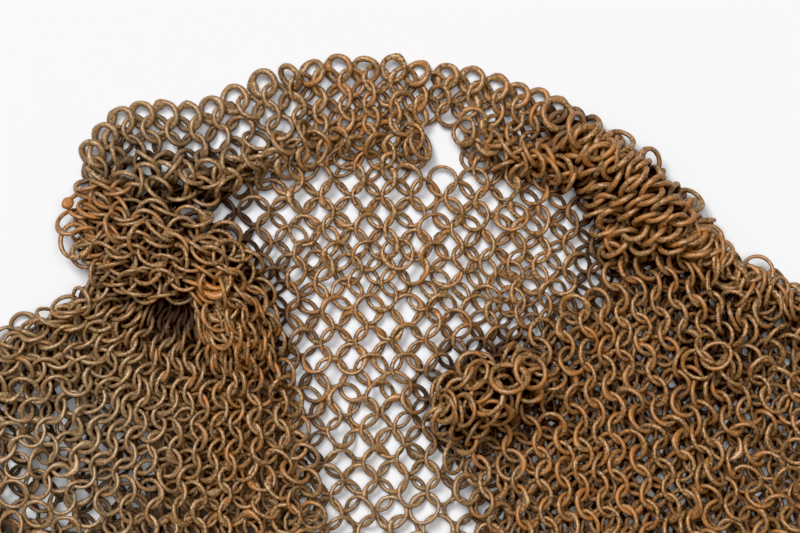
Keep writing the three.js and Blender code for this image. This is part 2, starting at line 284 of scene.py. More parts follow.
def settleRings(rings):
    # pushes the wires out of one another until the rings only touch, and lets them lie down
    count = len(rings["centre"])
    angle = np.arange(settle["samples"]) * 2 * math.pi / settle["samples"]
    cosine, sine = np.cos(angle), np.sin(angle)
    for number in range(settle["rounds"]):
        if number % settle["pairsEvery"] == 0:
            first, second = nearPairs(rings)
        share = number / settle["rounds"]
        centre, radius, wire = rings["centre"], rings["radius"], rings["wire"]
        other = np.cross(rings["up"], rings["side"])
        arm = radius[:, None, None] * (
            cosine[None, :, None] * rings["side"][:, None, :] + sine[None, :, None] * other[:, None, :]
        )
        offset = (centre[first] - centre[second])[:, None, :] + arm[first]
        up = rings["up"][second][:, None, :]
        high = np.sum(offset * up, axis=2)
        flat = offset - high[:, :, None] * up
        out = np.linalg.norm(flat, axis=2) + 1e-9
        rim = radius[second][:, None]
        away = offset - flat * (rim / out)[:, :, None]
        gap = np.sqrt(high ** 2 + (out - rim) ** 2) + 1e-9
        wanted = 0.5 * (wire[first] + wire[second])[:, None]
        pair, sample = np.nonzero(gap < wanted)
        move = np.zeros((count, 3))
        turn = np.zeros((count, 3))
        weight = np.zeros(count)
        if len(pair):
            push = away[pair, sample] / gap[pair, sample][:, None]
            depth = wanted[pair, 0] - gap[pair, sample]
            one, two = first[pair], second[pair]
            armOne = arm[one, sample]
            armTwo = flat[pair, sample] * (rim[pair, 0] / out[pair, sample])[:, None]
            twistOne, twistTwo = np.cross(armOne, push), np.cross(armTwo, push)
            ease = settle["turning"]
            inertia = 2 + (np.sum(twistOne ** 2, 1) + np.sum(twistTwo ** 2, 1)) / ease
            strength = depth / inertia
            for axis in range(3):
                amount = strength * push[:, axis]
                move[:, axis] += np.bincount(one, amount, count) - np.bincount(two, amount, count)
                swingOne = strength * twistOne[:, axis] / ease
                swingTwo = strength * twistTwo[:, axis] / ease
                turn[:, axis] += np.bincount(one, swingOne, count) - np.bincount(two, swingTwo, count)
            weight = np.bincount(one, minlength=count) + np.bincount(two, minlength=count)
        ease = (settle["overshoot"] / np.maximum(1.0, 0.5 * weight))[:, None]
        move, turn = move * ease, turn * ease
        low = (centre[:, None, :] + arm)[:, :, 2] - 0.5 * wire[:, None]
        sunk = np.minimum(low, 0)
        deepest = sunk.min(axis=1)
        move[:, 2] -= settle["floorPush"] * deepest
        place = np.argmin(sunk, axis=1)
        lever = arm[np.arange(count), place]
        turn -= settle["floorTurn"] * deepest[:, None] * np.cross(lever, [0, 0, 1]) / settle["turning"]
        if share < settle["fallUntil"]:
            move[:, 2] -= settle["gravity"]
        if share < settle["stirUntil"]:
            move += random.normal(0, settle["stir"], (count, 3))
            turn += random.normal(0, settle["stir"] * settle["stirTurn"], (count, 3))
        back = rings["home"] - centre
        move += rings["hold"][:, None] * back * np.array([1, 1, settle["homeHeight"]])
        longest = np.linalg.norm(move, axis=1)[:, None]
        move *= np.minimum(1, settle["longest"] / np.maximum(longest, 1e-9))
        sharpest = np.linalg.norm(turn, axis=1)[:, None]
        turn *= np.minimum(1, settle["sharpest"] / np.maximum(sharpest, 1e-9))
        rings["centre"] = centre + move
        turnRings(rings, turn)
    return rings


def liftRings(rings):
    # nothing sinks into the surface it lies on
    drop = rings["radius"] * np.sqrt(1 - rings["up"][:, 2] ** 2) + 0.5 * rings["wire"]
    rings["centre"][:, 2] = np.maximum(rings["centre"][:, 2], drop)


def heightMap(rings):
    # the highest wire over each small square of the surface, softened
    cell, margin = paintedShade["cell"], paintedShade["margin"]
    low = rings["centre"].min(axis=0)[:2] - margin
    size = np.ceil((rings["centre"].max(axis=0)[:2] + margin - low) / cell).astype(int) + 1
    top = np.zeros(size)
    other = np.cross(rings["up"], rings["side"])
    for angle in np.arange(16) * math.pi / 8:
        reach = rings["radius"][:, None] * (math.cos(angle) * rings["side"] + math.sin(angle) * other)
        place = rings["centre"] + reach
        square = ((place[:, :2] - low) / cell).astype(int)
        np.maximum.at(top, (square[:, 0], square[:, 1]), place[:, 2] + rings["wire"] / 2)

    def softened(reach):
        wide = np.pad(top, reach)
        steps = range(2 * reach + 1)
        return sum(wide[i:i + size[0], j:j + size[1]] for i in steps for j in steps) / len(steps) ** 2

    return low, np.maximum(np.maximum(softened(1), softened(3)), 0.6 * top)


# painted shade: darker the further a point lies below the softened top of the wires, with painted shadow
# added in the hollows
def paintedShadeAt(points, heights):
    low, top = heights
    square = (points[:, :2] - low) / paintedShade["cell"] - 0.5
    square = np.clip(square, 0, np.array(top.shape) - 1.001)
    i, j = square[:, 0].astype(int), square[:, 1].astype(int)
    u, v = square[:, 0] - i, square[:, 1] - j
    level = (top[i, j] * (1 - u) + top[i + 1, j] * u) * (1 - v)
    level += (top[i, j + 1] * (1 - u) + top[i + 1, j + 1] * u) * v
    amount = (level - points[:, 2] - paintedShade["from"]) / (paintedShade["to"] - paintedShade["from"])
    deep = np.clip((paintedShade["hollowTop"] - points[:, 2]) / paintedShade["hollowDeep"], 0, 1)
    return np.clip(amount + patchesAt(shadowedHollows, points) * deep, 0, 1)


def patchesAt(patches, points):
    amount = np.zeros(len(points))
    for x, y, reach, strength in patches:
        away = (points[:, 0] - neck[0] - x) ** 2 + (points[:, 1] - neck[1] - y) ** 2
        amount += strength * np.exp(-away / reach ** 2)
    return amount


def ringMesh(name, rings, segments, sides, rivets, heights):
    # one joined mesh: each ring is a wire that swells where its riveted ends lap
    count = len(rings["centre"])
    angle = np.arange(segments) * 2 * math.pi / segments
    lap = np.exp(-(np.minimum(angle, 2 * math.pi - angle) / ring["lapReach"]) ** 2)
    big = random.random(count) < ring["bigLapOdds"]
    amount = np.where(big, ring["bigLap"], random.uniform(*ring["laps"], count))
    swell = amount[:, None] * lap[None, :]
    around = (np.arange(sides) + 0.5) * 2 * math.pi / sides
    side, up = rings["side"], rings["up"]
    spin = random.uniform(0, 2 * math.pi, count)[:, None]
    other = np.cross(up, side)
    first = side * np.cos(spin) + other * np.sin(spin)
    second = other * np.cos(spin) - side * np.sin(spin)
    oval = random.normal(0, ring["oval"], count)[:, None]
    dent = random.normal(0, ring["dent"], count)[:, None]
    bent = 1 + oval * np.cos(2 * angle) + dent * np.cos(3 * angle + 10 * dent)
    outward = (
        np.cos(angle)[None, :, None] * first[:, None, :] + np.sin(angle)[None, :, None] * second[:, None, :]
    )
    line = rings["centre"][:, None, :] + (rings["radius"][:, None] * bent)[:, :, None] * outward
    half = 0.5 * rings["wire"][:, None]
    rough = random.normal(1, ring["rough"], (count, segments))
    wide = (half + 0.5 * ring["lapWide"] * swell) * rough
    tall = half * (1 - ring["lapThin"] * swell) * rough
    corner = (
        line[:, :, None, :]
        + (wide[:, :, None] * np.cos(around))[..., None] * outward[:, :, None, :]
        + (tall[:, :, None] * np.sin(around))[..., None] * up[:, None, None, :]
    )
    points = corner.reshape(-1, 3)
    i, j = np.meshgrid(np.arange(segments), np.arange(sides), indexing="ij")
    nextI, nextJ = (i + 1) % segments, (j + 1) % sides
    quads = np.stack([i * sides + j, nextI * sides + j, nextI * sides + nextJ, i * sides + nextJ], axis=-1)
    quads = quads.reshape(-1, 4)
    faces = (quads[None] + (np.arange(count) * segments * sides)[:, None, None]).reshape(-1, 4)
    tone = np.repeat(random.uniform(0, 1, count), segments * sides)
    if rivets:
        head = rivetMesh(rings, line[:, 0], first, second, tall[:, 0])
        faces = np.concatenate([faces, head["faces"] + len(points)])
        tone = np.concatenate([tone, np.repeat(random.uniform(0, 1, count), head["each"])])
        points = np.concatenate([points, head["points"]])
    # painted shade at each point of the wires
    shade = paintedShadeAt(points, heights) if heights else np.zeros(len(points))
    marks = {
        "ringTone": tone,
        "rust": patchesAt(rustPatches, points),
        "bare": patchesAt(barePatches, points),
        "paintedShade": shade,
    }
    return makeObject(name, points, faces, marks)


def rivetMesh(rings, middle, first, second, tall):
    # a low dome standing on the lap, four-cornered and closed underneath
    size = ring["rivet"]
    up = rings["up"]
    flip = np.where(random.random(len(middle)) < 0.5, -1.0, 1.0)[:, None]
    foot = middle + up * flip * (tall * 0.55)[:, None]
    top = middle + up * flip * (tall + ring["rivetTall"])[:, None]
    corners = 6
    steps = np.arange(corners) * 2 * math.pi / corners
    rounds = []
    for base, reach in ((foot, 1.0), (foot * 0.35 + top * 0.65, 0.85), (top, 0.35)):
        spread = np.cos(steps)[None, :, None] * first[:, None, :]
        spread = spread + np.sin(steps)[None, :, None] * second[:, None, :]
        rounds.append(base[:, None, :] + reach * size * spread)
    points = np.stack(rounds, axis=1).reshape(-1, 3)
    each = len(rounds) * corners
    quads = []
    for low in (0, corners):
        high = low + corners
        for k in range(corners):
            after = (k + 1) % corners
            quads.append([low + k, low + after, high + after, high + k])
    for low, turn in ((0, -1), (2 * corners, 1)):
        cap = [low + k for k in range(corners)][::turn]
        quads.append([cap[0], cap[1], cap[2], cap[3]])
        quads.append([cap[0], cap[3], cap[4], cap[5]])
    faces = (np.array(quads)[None] + (np.arange(len(middle)) * each)[:, None, None]).reshape(-1, 4)
    turned = np.repeat(flip[:, 0] < 0, len(quads))
    faces[turned] = faces[turned][:, ::-1]
    return {"points": points, "faces": faces, "each": each}


def makeObject(name, points, faces, marks):
    mesh = bpy.data.meshes.new(name)
    mesh.vertices.add(len(points))
    mesh.vertices.foreach_set("co", (points * 0.001).astype(np.float32).ravel())
    mesh.loops.add(faces.size)
    mesh.loops.foreach_set("vertex_index", faces.astype(np.int32).ravel())
    mesh.polygons.add(len(faces))
    mesh.polygons.foreach_set("loop_start", (np.arange(len(faces)) * 4).astype(np.int32))
    mesh.polygons.foreach_set("use_smooth", np.ones(len(faces), bool))
    for mark, values in marks.items():
        attribute = mesh.attributes.new(mark, "FLOAT", "POINT")
        attribute.data.foreach_set("value", values.astype(np.float32))
    mesh.update(calc_edges=True)
    mesh.validate()
    piece = bpy.data.objects.new(name, mesh)
    bpy.context.scene.collection.objects.link(piece)
    return piece


# the back, spread open on the surface
back = {
    "strands": [
        [(-158, 42, 2.6), (-158, 7, 2.6), (-158, -29, 2.6), (-158, -68, 2.6), (-158, -108, 2.6)],
        [(-97, 42, 2.6), (-97, 7, 2.6), (-97, -29, 2.6), (-97, -68, 2.6), (-97, -108, 2.6)],
        [(-37, 43, 2.6), (-36, 8, 2.6), (-36, -29, 2.6), (-35, -68, 2.6), (-35, -108, 2.6)],
        [(23, 41, 2.6), (25, 7, 2.6), (27, -28, 2.6), (28, -66, 2.6), (28, -108, 2.6)],
        [(80, 35, 2.6), (79, 0, 2.6), (77, -35, 2.6), (76, -71, 2.6), (75, -108, 2.6)],
        [(136, 29, 2.6), (134, -6, 2.6), (131, -41, 2.6), (130, -76, 2.6), (130, -108, 2.6)],
    ],
    "columns": 30,
    "rows": 32,
    "radius": [4.83, 4.83, 4.8, 4.65, 4.35, 4.3],
    "wire": 1.34,
    "wander": 0.16,
    "loose": 1.35,
    "hold": 0.03,
}

# the collar's middle, fallen open past the neck, doubled where it bends
collar = {
    "strands": [
        [(-98, 36, 2), (-97, 31, 2), (-96, 25, 2), (-94, 17, 3)],
        [(-92, 43, 2), (-90, 36, 2), (-88, 28, 2), (-86, 19, 3)],
        [(-85, 48, 2), (-83, 40, 2), (-80, 31, 2), (-78, 21, 3)],
        [(-76, 48, 2), (-75, 40, 2), (-72, 31, 2), (-70, 22, 3)],
        [(-66, 47, 2), (-65, 39, 2), (-63, 31, 2), (-61, 23, 3)],
        [(-56, 52, 2), (-55, 43, 2), (-53, 34, 2), (-50, 26, 3)],
        [(-46, 57, 2), (-45, 47, 2), (-43, 38, 2), (-41, 30, 3)],
        [(-35, 60, 2), (-34, 51, 2), (-33, 42, 2), (-32, 34, 3)],
        [(-25, 62, 2), (-25, 53, 2), (-24, 45, 2), (-24, 37, 3)],
        [(-14, 62, 2), (-14, 54, 2), (-14, 46, 2), (-14, 38, 3)],
        [(-3, 63, 2), (-4, 55, 2), (-4, 47, 2), (-5, 39, 3)],
        [(8, 61, 2), (7, 53, 2), (6, 46, 2), (5, 38, 3)],
        [(19, 60, 2), (17, 52, 2), (15, 44, 2), (13, 37, 3)],
        [(29, 57, 2), (27, 49, 2), (24, 42, 2), (22, 35, 3)],
        [(38, 54, 2), (36, 47, 2), (33, 40, 2), (31, 33, 3)],
        [(46, 51, 2), (43, 44, 2), (41, 37, 2), (39, 31, 3)],
        [(53, 47, 2), (51, 41, 2), (48, 35, 2), (46, 29, 3)],
        [(60, 43, 2), (57, 37, 2), (55, 31, 2), (52, 25, 3)],
    ],
    "columns": 22,
    "rows": 7,
    "radius": 4.2,
    "wire": 1.6,
    "heavyRows": 1,
    "wander": 0.2,
    "loose": 1.8,
    "hold": 0.1,
    "fold": [0.8, 1.0, 1.0, 0.9, 0.8, 0.6, 0.35, 0.2, 0.15, 0.15, 0.2, 0.4, 0.6, 0.8, 0.9],
    "foldRows": [
        (0, 0, 0), (0.3, 0.4, 0.1), (0.55, 0.86, 0.55),
        (0.72, 0.72, 1.0), (0.85, 0.85, 0.8), (1, 1, 0.1),
    ],
    "foldHeight": 8,
}

# the collar's left end: a roll lying left to right, then turning down over the front
lumpOver = {
    "strands": [
        [
            (-93, -1, 6), (-87, -5, 12), (-78, -9, 15), (-64, -9, 14),
            (-61, -15, 12), (-60, -22, 10), (-56, -29, 7),
        ],
        [
            (-97, 5, 7), (-89, 3, 16), (-77, 0, 19), (-62, -3, 19),
            (-56, -11, 17), (-54, -20, 14), (-52, -30, 9),
        ],
        [
            (-98, 12, 7), (-88, 10, 17), (-74, 8, 19), (-59, 3, 19),
            (-51, -7, 17), (-48, -18, 14), (-48, -30, 9),
        ],
        [
            (-95, 18, 6), (-85, 17, 13), (-70, 15, 14), (-55, 10, 13),
            (-46, -2, 11), (-43, -15, 10), (-44, -28, 7),
        ],
    ],
    "columns": 5,
    "rows": 16,
    "radius": 4.95,
    "wire": 1.35,
    "loose": 2.4,
    "hold": 0.07,
}
lumpUnder = {
    "strands": [
        [(-97, 3, 7), (-89, -2, 8), (-78, -5, 8), (-66, -7, 8), (-60, -14, 8), (-58, -23, 7)],
        [(-99, 10, 9), (-89, 7, 10), (-76, 4, 11), (-61, 0, 11), (-53, -9, 10), (-50, -22, 8)],
        [(-97, 17, 6), (-86, 15, 8), (-71, 13, 8), (-56, 6, 8), (-47, -6, 7), (-45, -21, 6)],
    ],
    "columns": 4,
    "rows": 12,
    "radius": 4.5,
    "loose": 1.8,
    "hold": 0.07,
}

# the front left of the slit: its columns fan out from the neck
frontLeft = {
    "strands": [
        [(-88, -5, 6), (-100, -11, 6), (-114, -20, 6), (-130, -29, 6), (-150, -40, 6)],
        [(-82, -11, 8), (-95, -20, 8), (-112, -32, 8), (-130, -44, 8), (-152, -58, 8)],
        [(-75, -14, 5), (-88, -27, 7), (-104, -44, 8), (-121, -60, 8), (-143, -80, 8)],
        [(-68, -16, 4), (-79, -33, 6), (-92, -53, 8), (-105, -72, 8), (-124, -98, 8)],
        [(-61, -17, 5), (-69, -36, 7), (-79, -57, 8), (-88, -78, 8), (-98, -104, 8)],
        [(-54, -18, 8), (-59, -38, 8), (-65, -59, 8), (-70, -80, 8), (-74, -108, 8)],
        [(-47, -18, 8), (-49, -38, 8), (-50, -59, 8), (-51, -80, 8), (-51, -108, 8)],
        [(-42, -16, 7), (-36, -36, 8), (-31, -56, 8), (-28, -76, 7), (-25, -108, 7)],
    ],
    "columns": 16,
    "rows": 18,
    "radius": 4.45,
    "wire": 1.4,
    "wander": 0.25,
    "loose": [3.2, 2.8, 2.2, 1.8, 1.7, 1.7, 1.7, 1.7],
    "hold": 0.05,
}

# the front right of the slit
frontRight = {
    "strands": [
        [(2, -3, 8), (8, -30, 8), (14, -56, 8), (20, -81, 8), (26, -108, 8)],
        [(23, 2, 8), (30, -25, 8), (36, -52, 8), (41, -79, 8), (47, -107, 8)],
        [(41, 6, 8), (48, -21, 8), (54, -48, 8), (58, -76, 8), (62, -106, 8)],
        [(57, 9, 8), (66, -16, 8), (70, -44, 8), (73, -74, 8), (76, -105, 8)],
        [(70, 13, 9), (81, -11, 8), (86, -39, 8), (88, -69, 8), (89, -103, 8)],
        [(81, 14, 11), (94, -7, 9), (99, -34, 8), (101, -64, 8), (103, -97, 8)],
        [(91, 11, 12), (105, -6, 9), (112, -29, 8), (116, -56, 8), (121, -87, 8)],
        [(101, 3, 10), (115, -8, 8), (127, -23, 8), (137, -45, 8), (148, -71, 8)],
        [(110, -3, 8), (121, -9, 7), (134, -18, 6), (152, -31, 6), (172, -50, 6)],
    ],
    "columns": 20,
    "rows": 20,
    "radius": 4.6,
    "wire": 1.48,
    "wander": 0.3,
    "loose": [1.5, 1.5, 1.6, 1.7, 1.8, 2.2, 2.8, 3.8, 4.6],
    "hold": 0.05,
}
slitRight = [
    (68, 14), (64, -8), (50, -15), (32, -27), (12, -38), (13, -55), (21, -72), (24, -85), (26, -110),
]

# the collar's right end, tumbled over, its columns lying level
rollOver = {
    "strands": [
        [(66, 38, 6), (61, 40, 11), (56, 41, 11), (50, 40, 5)],
        [(73, 33, 5), (67, 36, 13), (60, 37, 13), (53, 36, 6)],
        [(80, 28, 5), (73, 31, 15), (65, 33, 14), (56, 32, 6)],
        [(86, 23, 5), (79, 26, 16), (70, 28, 16), (60, 27, 6)],
        [(90, 18, 5), (83, 21, 17), (73, 22, 16), (62, 22, 7)],
        [(94, 14, 5), (86, 16, 17), (75, 18, 16), (63, 17, 7)],
        [(97, 9, 6), (89, 11, 16), (77, 13, 16), (65, 12, 8)],
        [(99, 4, 7), (91, 6, 13), (80, 8, 14), (68, 7, 9)],
    ],
    "columns": 7,
    "rows": 8,
    "leanLeast": 0.86,
    "wander": 0.12,
    "radius": 4.5,
    "wire": 1.9,
    "loose": 1.1,
    "hold": 0.12,
}
rollUnder = {
    "strands": [
        [(63, 38, 4), (58, 39, 6), (52, 38, 5)],
        [(76, 29, 4), (67, 32, 8), (58, 31, 5)],
        [(87, 18, 4), (77, 21, 9), (65, 20, 6)],
        [(94, 8, 5), (83, 10, 9), (70, 9, 7)],
    ],
    "columns": 8,
    "rows": 6,
    "radius": 3.9,
    "wire": 1.6,
    "loose": 1.4,
    "hold": 0.08,
}

# where the front's neck edge has crumpled at the foot of the opening
crumple = {
    "strands": [
        [(12, -46, 9), (16, -36, 11), (26, -30, 11), (40, -27, 9)],
        [(16, -50, 11), (22, -41, 15), (33, -35, 15), (46, -32, 10)],
        [(24, -53, 9), (30, -46, 12), (41, -41, 12), (49, -38, 9)],
    ],
    "columns": 3,
    "rows": 7,
    "radius": 4.4,
    "wire": 1.5,
    "loose": 1.6,
    "hold": 0.06,
}

# single rings lying about on top: place, the way they lean, how far, and sometimes radius and wire
strays = {
    "collar_left_end": [
        (-81, 9, 20, 10, 35),
        (-69, 2, 20, 180, 52),
        (-58, -4, 20, 90, 12, 5.3),
        (-59, -5, 21, 0, 35, 4.2),
        (-57, -15, 17, 40, 15, 5.2),
        (-51, -16, 15, 0, 48, 5.2),
        (-57, -20, 15, 200, 15, 5.2),
        (-56, -22, 16, 190, 25, 3.9),
        (-54, -26, 13, 250, 35, 5.4),
        (-49, -24, 12, 10, 50),
        (-47, -28, 11, 300, 50, 5.0),
        (-103, 8, 9, 160, 35, 5.3, 1.6),
        (-100, 4, 8, 200, 35, 4.2),
        (-95, -2, 9, 0, 48, 4.6),
        (-104, 14, 6, 120, 50, 4.6),
        (-89, 12, 18, 30, 40),
        (-79, -5, 16, 265, 45, 5.6),
        (-69, -7, 16, 280, 45, 5.6),
        (-88, 0, 15, 240, 30, 5.2),
        (-75, 11, 20, 75, 55),
        (-60, 5, 20, 60, 35, 5.2),
        (-54, 3, 18, 30, 40, 5.2),
        (-97, 18, 9, 80, 60),
        (-86, 18, 14, 95, 55),
        (-74, 18, 14, 80, 60),
        (-64, 15, 14, 70, 50, 5.0),
        (-52, -8, 17, 20, 55, 5.2),
        (-47, -17, 12, 15, 60, 5.2),
        (-105.2, 20, 9, 0, 25, 0.9, 2.2),
        (-101, 19.5, 7, 80, 35, 4.6, 1.4),
        (-99, 25, 4, 100, 55, 4.2, 1.7),
        (-93, 22, 8, 60, 50, 4.4, 1.6),
    ],
    "front_right": [
        (14, -44, 14, 190, 50, 5.1),
        (15.5, -45, 16, 200, 52, 4.6),
        (20, -45, 18, 180, 40, 4.9),
        (27, -41, 20, 150, 30, 5.6, 1.7),
        (34, -35, 20, 90, 40, 5.8, 1.8),
        (41, -33, 17, 60, 45, 5.2, 1.7),
        (24, -34, 17, 140, 40, 4.8),
        (30, -46, 15, 230, 45, 5.0),
        (29, -42, 18, 150, 45, 4.2),
        (98, -26, 14, 70, 40, 5.6),
        (99.5, -28, 16, 95, 30, 4.6),
        (94, -31, 13, 250, 50, 5.0),
        (104, -34, 12, 60, 40),
        (106, 0, 8, 20, 45, 4.4, 1.3),
        (113.5, -1.5, 7, 70, 30, 5.0, 1.3),
        (120, -5.5, 6, 30, 50, 4.9, 1.3),
        (127, -10, 6, 60, 40, 4.9, 1.3),
        (109, -9, 9, 320, 50, 4.6, 1.4),
        (117, -12, 9, 200, 45, 4.8, 1.3),
    ],
    "collar_middle": [
        (-99, 26, 7, 100, 60, 4.3, 1.4),
        (-95, 29, 8, 80, 60, 4.4, 1.5),
        (-90, 36, 8, 10, 65, 4.2, 1.6),
        (-89, 25, 9, 100, 60, 4.6, 1.4),
        (-83, 27, 10, 200, 50, 4.6, 1.4),
        (-80, 34, 9, 240, 60, 4.4, 1.5),
        (-77, 24, 11, 60, 55, 4.8, 1.4),
        (-72, 31, 9, 130, 65, 4.4, 1.5),
        (-69, 23, 10, 100, 60, 4.6, 1.4),
        (-66, 29, 10, 60, 60, 4.4, 1.5),
        (-62, 23, 9, 70, 60, 4.8, 1.4),
        (-60, 28, 9, 120, 55, 4.6, 1.4),
        (-55, 25, 8, 300, 55, 4.8, 1.4),
        (-54, 33, 8, 5, 70, 4.4, 1.5),
        (-47, 34, 8, 40, 60, 4.3, 1.5),
        (6.5, 38.5, 6, 20, 40, 4.6, 1.4),
        (4.5, 37.5, 5, 30, 55, 4.4, 1.4),
        (20.5, 43, 6, 200, 30, 4.3, 1.4),
    ],
    "collar_right_end": [
        (98, 9, 9, 60, 45, 4.4, 1.6),
        (92, 21, 8, 50, 50, 4.2, 1.6),
        (79, 33, 9, 70, 50, 4.4, 1.6),
        (70, 40, 9, 60, 50, 4.4, 1.7),
        (56, 43, 14, 20, 25, 5.2, 1.8),
        (50, 48, 8, 10, 45, 4.8, 1.9),
    ],
    "front_left": [
        (-96, -7, 9, 140, 50, 4.3),
        (-101, -11, 9, 170, 55, 4.3),
        (-106, -13, 7, 110, 50, 4.4),
        (-111, -16, 8, 60, 55, 4.4),
        (-116, -20, 8, 130, 45, 4.6),
        (-123, -25, 7, 120, 55, 4.4),
        (-126, -28, 6, 60, 50, 4.4),
    ],
}


def strayRings(name):
    x, y, z, turn, lean, radius, wire = np.array(
        [row + (ring["radius"], ring["wire"])[len(row) - 5:] for row in strays[name]], float
    ).T
    turn, lean = np.radians(turn), np.radians(lean)
    up = np.stack([np.sin(lean) * np.cos(turn), np.sin(lean) * np.sin(turn), np.cos(lean)], axis=1)
    side = np.stack([-np.sin(turn), np.cos(turn), np.zeros(len(x))], axis=1)
    centre = np.stack([x, y, z], axis=1) + neck
    return {
        "centre": centre,
        "side": side,
        "up": up,
        "radius": radius,
        "wire": wire,
        "home": centre,
        "hold": np.full(len(x), ring["strayHold"]),
    }


def foldCollar(point, across, along):
    fold = np.interp(across, np.linspace(0, 1, len(collar["fold"])), collar["fold"])
    table = np.array(collar["foldRows"])
    moved = np.interp(along, table[:, 0], table[:, 1])
    risen = np.interp(along, table[:, 0], table[:, 2])
    share = along + fold * (moved - along)
    placed = clothPoint(collar["strands"], across, share)
    placed[:, 2] += fold * risen * collar["foldHeight"]
    return placed


collar["bend"] = foldCollar

tear = {"x": 13.5, "y": 38, "wide": 8.6, "tall": 10.8}
thinSpot = {"x": -104, "y": -62, "wide": 31, "tall": 24}  # where light comes through both layers
shoulder = {"x": 102, "y": -34, "share": 0.55}
neckArea = {"halfWide": 134, "foot": -92}  # filled by the rings woven round the neck


def fromMiddle(spot, x, y):
    # less than 1 inside an oval spot
    across, along = x - neck[0] - spot["x"], y - neck[1] - spot["y"]
    return (across / spot["wide"]) ** 2 + (along / spot["tall"]) ** 2


def inThinSpot(x, y):
    return fromMiddle(thinSpot, x, y) < 1


def outsideTear(rings):
    return fromMiddle(tear, rings["centre"][:, 0], rings["centre"][:, 1]) > 1


def inNeckArea(x, y):
    return abs(x - neck[0]) < neckArea["halfWide"] and y - neck[1] > neckArea["foot"]


def rightOfSlit(rings):
    place = rings["centre"] - neck
    edge = np.array(slitRight[::-1], float)
    return place[:, 0] > np.interp(place[:, 1], edge[:, 1], edge[:, 0])


def spared(rings):
    # fewer rings at the right shoulder, where the columns run together
    place = rings["centre"] - neck
    crowded = (place[:, 0] > shoulder["x"]) & (place[:, 1] > shoulder["y"])
    return ~crowded | (random.random(len(place)) < shoulder["share"])


neckSeam = [
    (-82, 18), (-70, 21), (-52, 24), (-40, 30), (-30, 36), (-14, 39),
    (5, 39), (22, 36), (40, 33), (54, 25), (66, 12),
]


def inNeck(rings):
    # inside the line where the collar meets the back
    place = rings["centre"] - neck
    seam = np.array(neckSeam, float)
    line = np.interp(place[:, 0], seam[:, 0], seam[:, 1])
    within = (place[:, 0] > seam[0, 0]) & (place[:, 0] < seam[-1, 0])
    return within & (place[:, 1] < line) & (place[:, 1] > -20)


def overNode(rings, node, reach=0.0):
    # whether each ring lies over a piece of the model, and as far as reach on every side
    over = []
    for x, y in rings["centre"][:, :2]:
        spots = [(x, y)] + besideSpot(x, y, reach)
        over.append(all(topAt(node, *spot) is not None for spot in spots))
    return np.array(over)


backRings = weaveRings(back)
shown = (overNode(backRings, "back") | inNeck(backRings)) & outsideTear(backRings)
thin = np.array([inThinSpot(point[0], point[1]) for point in backRings["centre"]])
shown &= ~overNode(backRings, "front", 9.0) | thin
backRings = pickRings(backRings, shown)
collarRings = weaveRings(collar)
collarRings = pickRings(collarRings, outsideTear(collarRings))
rightRings = weaveRings(frontRight)
rightRings = pickRings(rightRings, rightOfSlit(rightRings) & spared(rightRings))
groups = {
    "back_neck": backRings,
    "collar_middle": collarRings,
    "front_left": weaveRings(frontLeft),
    "front_right": joinRings(rightRings, weaveRings(crumple)),
    "collar_left_end": joinRings(weaveRings(lumpUnder), weaveRings(lumpOver)),
    "collar_right_end": joinRings(weaveRings(rollUnder), weaveRings(rollOver)),
}
for name in strays:
    groups[name] = joinRings(groups[name], strayRings(name))
allRings = joinRings(*groups.values())
print("woven", len(allRings["centre"]), "rings")
allRings = settleRings(allRings)
liftRings(allRings)
print("settled")


ironFinish = {
    "dark": (0.09, 0.034, 0.007, 1),
    "light": (0.44, 0.265, 0.118, 1),
    "ring": (0.23, 0.13, 0.058, 1),  # what some rings turn towards as a whole
    "bare": (0.27, 0.2, 0.12, 1),
    "rust": (0.36, 0.14, 0.032, 1),
    # painted shade: the colour the deepest wires darken to
    "paintedShade": (0.018, 0.004, 0.0005, 1),
    "metallic": 0.22,
    "specular": 0.5,
    "grain": 1300,  # noise cells to a metre
    "patches": 280,
    "bump": 0.0003,
}


